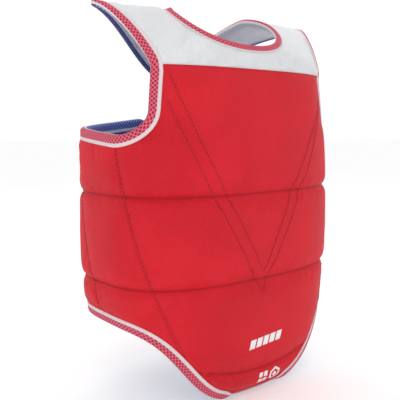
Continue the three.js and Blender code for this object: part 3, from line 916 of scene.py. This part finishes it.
def round_yoke(front, back, count):
    """Places round an edge of the yoke: along its front half, then back along its rear half."""
    share = np.linspace(0, 1, count)
    ahead, behind = (np.stack(yoke_edge(*half, share), -1) for half in (front, back))
    return join([ahead[:-1], behind[::-1][:-1]])


def yoke_shell():
    """The yoke as one band round the neck: over both shoulders, the front and the back."""
    outer_edge = round_yoke((STRAP_FRONT, 0.55), (STRAP_BACK, TAB_SHARE), 121)
    neck_edge = round_yoke((NECK_FRONT, 1.0), (NECK_BACK, 1.0), 121)
    up = np.linspace(0, 1, 21)[:, None, None]
    place = mix(outer_edge[None], neck_edge[None], up)
    x, run = place[..., 0], place[..., 1]
    run = np.where(run < SEAM_LAP, -SEAM_LAP, run)
    nominal, out = over(x, run), outward(over, x, run)
    strap_line, neck_line = (dense(over(*join([k, k[:1]]).T)) for k in (outer_edge, neck_edge))
    free = strap_line[strap_line[:, 2] > YOKE_SEAM + 0.8]
    seams = [
        (free, TAPE_LEDGE, YOKE_DEPTH, 10),
        (neck_line, NECK_LEDGE, YOKE_DEPTH, 9),
        (LINES["yoke"], 0, 2.2, 10),
    ]
    pinned = near(nominal, free, TAPE_LEDGE) | near(nominal, neck_line, NECK_LEDGE)
    pinned |= near(nominal, LINES["yoke"], PIN_REACH)
    pinned[[0, -1]] = True
    from_neck, from_strap = distance_to(nominal, neck_line), distance_to(nominal, free)
    clear = np.clip((np.minimum(from_neck, from_strap) - TAPE_LEDGE) / 9, 0, 1)
    rise = bent(from_neck, NECK_RISE, NECK_REACH) + clear * strap_creases(x, run)
    outer, inner, wear_and_seam_shade = quilted(nominal, out, seams, YOKE_PAD, pinned, YOKE_PUFF, rise, True)
    made = shell("yoke_panel", outer, inner, [WHITE_CLOTH, WHITE_CLOTH], wear_and_seam_shade, True)
    skins = ("cover", "pad", "lining")
    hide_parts(*[f"{at}yoke_{skin}" for at in ("", "back_") for skin in skins])
    bend_at_shoulder(made)


# ---- binding tapes

TAPE_THICK, TAPE_CLEAR = 1.0, 0.3
UNDERARM_FOLD, HEM_FOLD = -176.0, -450.0


def stations(surface, u, v, thick, sink, flip=1, closed=False):
    """Along an edge: places, the way off the panel, how thick the edge is and how deep it sinks."""
    u, v = np.asarray(u, float), np.asarray(v, float)
    at = surface(u, v)
    along = np.roll(at, -1, 0) - np.roll(at, 1, 0) if closed else np.gradient(at, axis=0)
    away = unit(np.cross(along, outward(surface, u, v))) * flip
    across, up = slopes(surface, u, v)
    skew = (across * up).sum(-1)
    aa, bb = (across**2).sum(-1), (up**2).sum(-1)
    area = aa * bb - skew**2
    pa, pb = (across * away).sum(-1), (up * away).sum(-1)
    full = lambda value: np.full(len(u), float(value))
    return {
        "surface": surface,
        "u": u,
        "v": v,
        "du": (pa * bb - pb * skew) / area,
        "dv": (pb * aa - pa * skew) / area,
        "away": away,
        "thick": full(thick),
        "sink": full(sink),
        "leg": full(TAPE_LEG),
        "inner_leg": full(TAPE_LEG),
        "bend": full(0),
        "reach": 1.0,
    }


FOLD_STEPS = 10
LEG_SHARES = np.array([1, 0.8, 0.6, 0.4, 0.2, 0.0])
INSIDE_UV = 40.0


def tape_profile(s, bulge, lift):
    """The tape's section at each station: over the outer face, round the edge, and back inside.
    lift is the height above the sunk face."""
    surface = s["surface"]

    def point(distance, depth, reach=0.0):
        u, v = s["u"] - distance * s["du"], s["v"] - distance * s["dv"]
        out = outward(surface, u, v)
        deep = depth + bent(distance, s["bend"], s["reach"])
        return surface(u, v) - out * deep[..., None] + s["away"] * reach

    top = s["sink"] - lift
    bottom = s["thick"] - s["sink"] + lift
    columns = [point(share * s["leg"], top) for share in LEG_SHARES]
    for k in range(1, FOLD_STEPS):
        angle = np.pi * k / FOLD_STEPS
        depth = (top + bottom) / 2 - (bottom - top) / 2 * np.cos(angle)
        columns.append(point(0.0, depth, (bulge + lift) * np.sin(angle)))
    columns += [point(share * s["inner_leg"], bottom) for share in LEG_SHARES[::-1]]
    return np.stack(columns, 1)


def smoothed(profile, passes, closed):
    for _ in range(passes):
        ends = profile[[0, -1]]
        profile = (np.roll(profile, 1, 0) + 2 * profile + np.roll(profile, -1, 0)) / 4
        if not closed:
            profile[[0, -1]] = ends
    return profile


def binding(name, runs, material, bulge=3.2, passes=3, closed=False, node_names=()):
    """A closed strip folded over an edge, from runs of stations. Its map counts millimetres from
    the end of each leg, with the inside leg INSIDE_UV further on."""
    lower = join([tape_profile(s, bulge, TAPE_CLEAR) for s in runs])
    upper = join([tape_profile(s, bulge, TAPE_CLEAR + TAPE_THICK) for s in runs])
    lower, upper = smoothed(lower, passes, closed), smoothed(upper, passes, closed)
    rows, cols = upper.shape[:2]
    middle = cols // 2
    steps = np.linalg.norm(np.diff(upper, axis=1), axis=-1)
    gone = join([np.zeros((rows, 1)), np.cumsum(steps, 1)], 1)
    from_end = INSIDE_UV + gone[:, -1:] - gone
    brim = np.abs(gone - gone[:, middle : middle + 1])
    line = upper[:, middle]
    along = travelled(join([line, line[:1]]) if closed else line)
    size = 2 * cols
    place = list(range(cols)) + list(range(cols - 1, -1, -1))
    faces, uv = [], []
    for r in range(rows if closed else rows - 1):
        n = (r + 1) % rows
        for c in range(size):
            d = (c + 1) % size
            faces.append((r * size + c, r * size + d, n * size + d, n * size + c))
            side = gone if place[c] + place[d] < 2 * middle else from_end
            low, high = along[r], along[r + 1]
            uv += [(side[r, place[c]], low), (side[r, place[d]], low)]
            uv += [(side[n, place[d]], high), (side[n, place[c]], high)]
    if not closed:
        for r in (0, rows - 1):
            for c in range(cols - 1):
                ids = [c, c + 1, size - 2 - c, size - 1 - c]
                ids = ids[::-1] if r == 0 else ids
                faces.append(tuple(r * size + i for i in ids))
                uv += [(gone[r, place[i]], along[min(r, rows - 2)]) for i in ids]
    ring = join([upper, lower[:, ::-1]], 1)
    made = new_mesh(name, ring.reshape(-1, 3), faces, np.array(uv) * MM, [material])
    layer = made.data.attributes.new("brim", "FLOAT", "POINT")
    layer.data.foreach_set("value", join([brim, brim[:, ::-1]], 1).ravel())
    face_outwards(made)
    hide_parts(*node_names)
    return made


def face_outwards(obj):
    """Turns a closed mesh's faces outwards if they point in."""
    mesh = obj.data
    mesh.calc_loop_triangles()
    co = np.empty(len(mesh.vertices) * 3)
    mesh.vertices.foreach_get("co", co)
    tris = np.empty(len(mesh.loop_triangles) * 3, np.int32)
    mesh.loop_triangles.foreach_get("vertices", tris)
    a, b, c = (co.reshape(-1, 3)[tris.reshape(-1, 3)[:, k]] for k in range(3))
    if (a * np.cross(b, c)).sum() < 0:
        mesh.flip_normals()


# Where the armhole's tape gives way: to the back yoke's, as a share of the strap's edge, and to a
# wing's, in mm before the fold.
STRAP_CUT, FOLD_CUT = 0.055, 16.0


def short_of_fold(z):
    """Where a tape of the body gives way to the wing's, a little before the fold."""
    return fold_line(z) - FOLD_CUT / FOLD_MM_PER_TURN


def edge_run(surface, u, v, thick, sink, side):
    """Stations of an edge given for the wearer's left, followed so that the way off the panel is
    on the right hand, and mirrored for their right."""
    s = stations(surface, u, v, thick, sink, -1)
    if side == LEFT:
        return s
    return {**s, "u": -s["u"], "du": -s["du"], "away": mirrored(s["away"])}


def narrowed(s, share, inner=1.0):
    """Stations whose tape has narrower legs."""
    s["leg"] = s["leg"] * share
    s["inner_leg"] = s["inner_leg"] * inner
    return s


def armhole_binding(side, material):
    """Round one armhole, from the top of the shoulder down and back to the fold."""
    word = WORDS[side]
    strap = bezier(STRAP_FRONT, np.linspace(STRAP_CUT, 0.97, 44))
    front = armhole(np.linspace(0.98, 0.0, 46))
    turn = np.linspace(80.8, short_of_fold(UNDERARM_FOLD), 32)
    shrink = 1 - 0.36 * np.clip(strap[:, 1] / SHOULDER_RUN, 0, 1)
    inner = 1 - 0.45 * np.clip(strap[:, 1] / 40, 0, 1)
    upper = edge_run(over, strap[:, 0], strap[:, 1], YOKE_PAD, YOKE_DEPTH, side)
    runs = [
        narrowed(upper, shrink, inner),
        edge_run(wrap, front[0], front[1], PAD, FREE_DEPTH, side),
        edge_run(wrap, turn, under_arm(turn), PAD, FREE_DEPTH, side),
    ]
    made = binding(f"armhole_binding_{word}", runs, material, node_names=[f"armhole_tape_{word}"])
    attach(made, "front_body")


def wing_binding(side, material):
    """Round one wing: under the arm, down its laced end, and back along the hem."""
    word = WORDS[side]
    corner = WING_END - CORNER_TURN
    rounded = corner + CORNER_TURN * np.sin(np.linspace(0.1, np.pi / 2 - 0.05, 12))
    top = join([np.linspace(short_of_fold(UNDERARM_FOLD), corner, 60), rounded])
    hem = join([np.linspace(short_of_fold(HEM_FOLD), corner, 70), rounded])[::-1]
    ends = wing_top(WING_END), wing_hem(WING_END)
    u = join([top, np.full(50, WING_END), hem])
    v = join([wing_top(top), mix(*ends, np.linspace(0.04, 0.96, 50)), wing_hem(hem)])
    runs = [edge_run(wrap, u, v, PAD, FREE_DEPTH, side)]
    made = binding(f"wing_binding_{word}", runs, material, node_names=[f"wing_tape_{word}"])
    bend_at_fold(made, side)


def hem_binding(material):
    """Along the hem from fold to fold, turned under at the flap."""
    stop = short_of_fold(HEM_FOLD)
    turn = np.linspace(-stop, stop, 260)
    s = stations(wrap, turn, hem_at(turn), PAD, FREE_DEPTH, 1)
    s["bend"], s["reach"] = FLAP_CURL * flap_share(turn), FLAP_REACH
    s["leg"] = s["leg"] * (1 - 0.7 * flap_share(turn))
    nodes = ["hem_tape_right", "hem_tape_left", "flap_tape"]
    bend_at_flap(binding("hem_binding", [s], material, node_names=nodes))


def back_binding(material):
    """Over the back of both shoulders and round the tab of the back yoke."""
    x, run = yoke_edge(STRAP_BACK, TAB_SHARE, np.linspace(0.0, 1.0, 180))
    lead = bezier(STRAP_FRONT, np.linspace(STRAP_CUT, 0.004, 6))
    x = join([-lead[:, 0], x, lead[::-1, 0]])
    run = join([lead[:, 1], run, lead[::-1, 1]])
    s = narrowed(stations(over, x, run, YOKE_PAD, YOKE_DEPTH, -1), 0.64, 0.5)
    nodes = ["back_yoke_tape"]
    bend_at_shoulder(binding("back_yoke_binding", [s], material, bulge=2.6, node_names=nodes))


def neck_binding(material):
    """Round the neck, standing up a little at its edge."""
    ring = round_yoke((NECK_FRONT, 1.0), (NECK_BACK, 1.0), 111)
    s = stations(over, ring[:, 0], ring[:, 1], YOKE_PAD, YOKE_DEPTH, -1, closed=True)
    s["bend"], s["reach"] = s["bend"] + NECK_RISE, NECK_REACH
    s = narrowed(s, 0.68, 0.5)
    nodes = ["neck_tape_front", "neck_tape_back"]
    made = binding("neck_binding", [s], material, bulge=2.6, closed=True, node_names=nodes)
    bend_at_shoulder(made)


def make_tapes():
    wide = tape("body_tape", 5.2, (0.25, 0.33, 0.72), (0.012, 0.016, 0.22))
    narrow = tape("strap_tape", 2.2, (0.12, 0.14, 0.4), (0.012, 0.014, 0.12))
    pale = tape("neck_tape", 2.2, (0.75, 0.76, 0.8), (0.55, 0.57, 0.64))
    for side in (RIGHT, LEFT):
        armhole_binding(side, wide)
        wing_binding(side, wide)
    hem_binding(wide)
    back_binding(narrow)
    neck_binding(pale)


# ---- stitches and prints


def tree_of(grid):
    faces = faces_of_grid(*grid.shape[:2], False)
    return BVHTree.FromPolygons(grid.reshape(-1, 3).tolist(), faces.tolist())


def onto(tree, points, out, lift=0.0):
    """Points moved along their outward directions onto a skin, and the skin's own directions."""
    found, normals = [], []
    for p, n in zip(points, out):
        hit, normal, _, _ = tree.ray_cast(Vector(p + n * 15), Vector(-n), 40)
        if hit is None:
            found.append(p)
            normals.append(n)
            continue
        normal = np.array(normal)
        if normal @ n < 0:
            normal = -normal
        found.append(np.array(hit) + normal * lift)
        normals.append(normal)
    return np.array(found), np.array(normals)


def directions(line):
    """Rough outward directions of a line on the body."""
    turn = np.degrees(np.arctan2(line[:, 0], BODY_MIDDLE - line[:, 1]))
    return outward(wrap, turn, line[:, 2])


BODY_MIDDLE = 8.0
STITCH_PITCH, STITCH_LENGTH, STITCH_RADIUS = 5.6, 3.7, 0.55


def stitches(name, lines, tree, side=None):
    """Rows of stitches, each a small rounded thread that dips into the cloth at both ends. Without
    a side they are attached to the front body; with one, their transform is only baked."""
    verts, faces = [], []
    sides, rings = 6, 5
    t = np.linspace(0, 1, rings)
    swell = np.sin(np.pi * np.clip(t, 0.08, 0.92)) ** 0.5
    for line in lines:
        line = dense(line, 0.5)
        place, normal = onto(tree, line, directions(line))
        gone = travelled(place)
        for start in np.arange(STITCH_PITCH / 2, gone[-1] - STITCH_LENGTH, STITCH_PITCH):
            at = start + t * STITCH_LENGTH
            p, n = looked_up(at, gone, place), unit(looked_up(at, gone, normal))
            edge = unit(np.cross(unit(np.gradient(p, axis=0)), n))
            p = p + n * (STITCH_RADIUS * 1.1 * swell - 0.2)[:, None]
            base = len(verts)
            for ring in range(rings):
                for k in range(sides):
                    angle = 2 * np.pi * k / sides
                    away = edge[ring] * np.cos(angle) + n[ring] * np.sin(angle)
                    verts.append(p[ring] + away * STITCH_RADIUS * swell[ring])
            for ring in range(rings - 1):
                for k in range(sides):
                    a, b = base + ring * sides + k, base + ring * sides + (k + 1) % sides
                    faces.append((a, b, b + sides, a + sides))
            faces.append(tuple(base + k for k in reversed(range(sides))))
            faces.append(tuple(base + (rings - 1) * sides + k for k in range(sides)))
    made = new_mesh(name, verts, faces, materials=[RED_THREAD])
    face_outwards(made)
    if side is None:
        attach(made, "front_body")
    else:
        bend_at_fold(made, side)


def patch(corners, tree, verts, faces, cells=(8, 8)):
    """A thin printed patch over four corners given as (turn, z), laid on a skin."""
    a, b, c, d = (np.array(p, float) for p in corners)
    s = np.linspace(0, 1, cells[0] + 1)[None, :, None]
    t = np.linspace(0, 1, cells[1] + 1)[:, None, None]
    place = mix(mix(a, b, s), mix(d, c, s), t)
    flat = place.reshape(-1, 2)
    points, out = wrap(flat[:, 0], flat[:, 1]), outward(wrap, flat[:, 0], flat[:, 1])
    top, normal = onto(tree, points, out, 0.3)
    low = top - normal * 0.5
    rows, cols = cells[1] + 1, cells[0] + 1
    base, count = len(verts), rows * cols
    verts.extend([*top, *low])
    grid = faces_of_grid(rows, cols, False)
    faces.extend([*(grid + base).tolist(), *(grid[:, ::-1] + base + count).tolist()])
    ids = np.arange(count).reshape(rows, cols) + base
    ring = [*ids[0], *ids[1:, -1], *ids[-1, -2::-1], *ids[-2:0:-1, 0]]
    faces.extend((j, i, i + count, j + count) for i, j in zip(ring, ring[1:] + ring[:1]))


def prints(tree):
    """Two plain printed marks: a row of slanted bars on the belly, and on the flap four small
    blocks beside a six-sided ring with a solid middle."""
    verts, faces = [], []
    left, wide, slant = -15.0, 4.6, 1.5
    for k in range(5):
        start = left + k * 5.9
        low, high = -498.0 + k * 0.9, -484.0 + k * 0.9
        corners = [(start, low), (start + wide, low + 0.6), (start + wide + slant, high + 0.6)]
        patch([*corners, (start + slant, high)], tree, verts, faces)
    made = new_mesh("belly_print", verts, faces, materials=[INK])
    bend_at_flap(made)
    verts, faces = [], []
    centre, wide, tall = (15.0, -553.5), 5.5, 11.5

    def corner(degrees, size):
        """A corner of a six-sided figure on the flap, across and up."""
        angle = math.radians(degrees)
        across, up = wide * math.cos(angle), tall * math.sin(angle)
        return (centre[0] + size * across, centre[1] + size * up)

    for a in range(30, 390, 60):
        b = a + 60
        ring = [corner(b, 0.68), corner(a, 0.68), corner(a, 1.0), corner(b, 1.0)]
        patch(ring, tree, verts, faces, (6, 3))
    for a in (30, 210):
        patch([corner(a + more, 0.36) for more in (0, 60, 120, 180)], tree, verts, faces, (4, 4))
    for left in (-1.0, 3.8):
        for low in (-563.0, -552.5):
            high, right = low + 8.0, left + 3.6
            blocks = [(left, low), (right, low), (right, high), (left, high)]
            patch(blocks, tree, verts, faces, (4, 4))
    made = new_mesh("flap_print", verts, faces, materials=[INK])
    bend_at_flap(made)


def trimmed(line, start, end):
    """A line without so many millimetres at its ends."""
    gone = travelled(line)
    return line[(gone > start) & (gone < gone[-1] - end)]


# ---- assembly

BESIDE_SEAM = 0.9
front_tree = front_shell()
side_parts = side_skins()
side_trees = {side: side_shell(side, *side_parts) for side in (RIGHT, LEFT)}
yoke_shell()
make_tapes()

stitches("chest_stitches", [trimmed(line, 1, 6) for line in CHEVRONS], front_tree)
for side, word in WORDS.items():
    beside = seam_line(side_seam(SEAM_ROWS) - BESIDE_SEAM, SEAM_ROWS)
    rows = [line if side == LEFT else mirrored(line) for line in (beside, LINES["fold"])]
    seam, fold = (trimmed(line, TAPE_LEDGE + 2, TAPE_LEDGE + 2) for line in rows)
    stitches(f"side_stitches_{word}", [seam], front_tree)
    stitches(f"fold_stitches_{word}", [fold], side_trees[side], side)
prints(front_tree)

for name, node in frame["nodes"].items():
    if name.startswith("lace_loop"):
        node.data.materials.clear()
        node.data.materials.append(LOOP_WEB)

# ---- studio

LIT_POINT = Vector((0, 0, -0.28))
FLOOR_HALF, FLOOR_DROP = 20000.0, 1.0
VIEW_YAW, VIEW_PITCH, VIEW_ROLL = math.radians(39.07), math.radians(6.62), math.radians(-0.27)
VIEW_PLACE, VIEW_LENS = (-0.631, -0.745, -0.176), 54.68


def soft_light(name, size, power, place):
    data = bpy.data.lights.new(name, "AREA")
    data.shape = "RECTANGLE"
    data.size = data.size_y = size
    data.energy = power
    made = bpy.data.objects.new(name, data)
    made.location = place
    made.rotation_euler = (LIT_POINT - Vector(place)).to_track_quat("-Z", "Y").to_euler()
    bpy.context.scene.collection.objects.link(made)


def white_room():
    """A white room, brighter behind the object and overhead than in front of it."""
    world = bpy.data.worlds.new("studio")
    world.use_nodes = True
    tree = world.node_tree
    ground = tree.nodes["Background"].inputs
    place = tree.nodes.new("ShaderNodeTexCoord")
    split = tree.nodes.new("ShaderNodeVectorMath")
    split.operation = "DOT_PRODUCT"
    split.inputs[1].default_value = (0.6, 0.7, 0.4)
    tree.links.new(place.outputs["Generated"], split.inputs[0])
    bright = tree.nodes.new("ShaderNodeMapRange")
    bright.interpolation_type = "SMOOTHSTEP"
    for name, value in (("From Min", 0.1), ("From Max", 0.65), ("To Min", 0.66), ("To Max", 1.05)):
        bright.inputs[name].default_value = value
    tree.links.new(split.outputs["Value"], bright.inputs["Value"])
    tree.links.new(bright.outputs[0], ground["Strength"])
    ground["Color"].default_value = (1, 1, 1, 1)
    return world


def studio():
    n = Nodes("floor_paint")
    grain = n.noise(n.place(), 2.0)
    shade = n.blend(n.ramp(grain, 0.3, 0.7), (0.93, 0.93, 0.935), (0.95, 0.95, 0.95))
    paint = n.finish(shade, 0.9, specular=0.1)
    n.put(n.shader.inputs["Emission Color"], (1, 1, 1))
    n.put(n.shader.inputs["Emission Strength"], 0.18)
    drop = CAD_BOX[0][2] / MM - FLOOR_DROP
    signs = ((-1, -1), (1, -1), (1, 1), (-1, 1))
    corners = [(x * FLOOR_HALF, y * FLOOR_HALF, drop) for x, y in signs]
    floor = new_mesh("floor", corners, [(0, 1, 2, 3)], materials=[paint])
    bpy.context.scene.world = white_room()
    soft_light("key", 1.4, 11, (-1.3, -1.5, 1.0))
    soft_light("top", 2.0, 8, (0.2, 0.3, 1.8))


def camera():
    data = bpy.data.cameras.new("camera")
    data.sensor_width = 36.0
    data.lens = VIEW_LENS
    made = bpy.data.objects.new("camera", data)
    level = math.cos(VIEW_PITCH)
    look = (math.sin(VIEW_YAW) * level, math.cos(VIEW_YAW) * level, -math.sin(VIEW_PITCH))
    turn = Vector(look).to_track_quat("-Z", "Y").to_matrix().to_4x4()
    turn = turn @ Matrix.Rotation(VIEW_ROLL, 4, "Z")
    made.matrix_world = Matrix.Translation(VIEW_PLACE) @ turn
    bpy.context.scene.collection.objects.link(made)
    bpy.context.scene.camera = made


studio()
camera()
bpy.context.scene.view_settings.view_transform = "Standard"
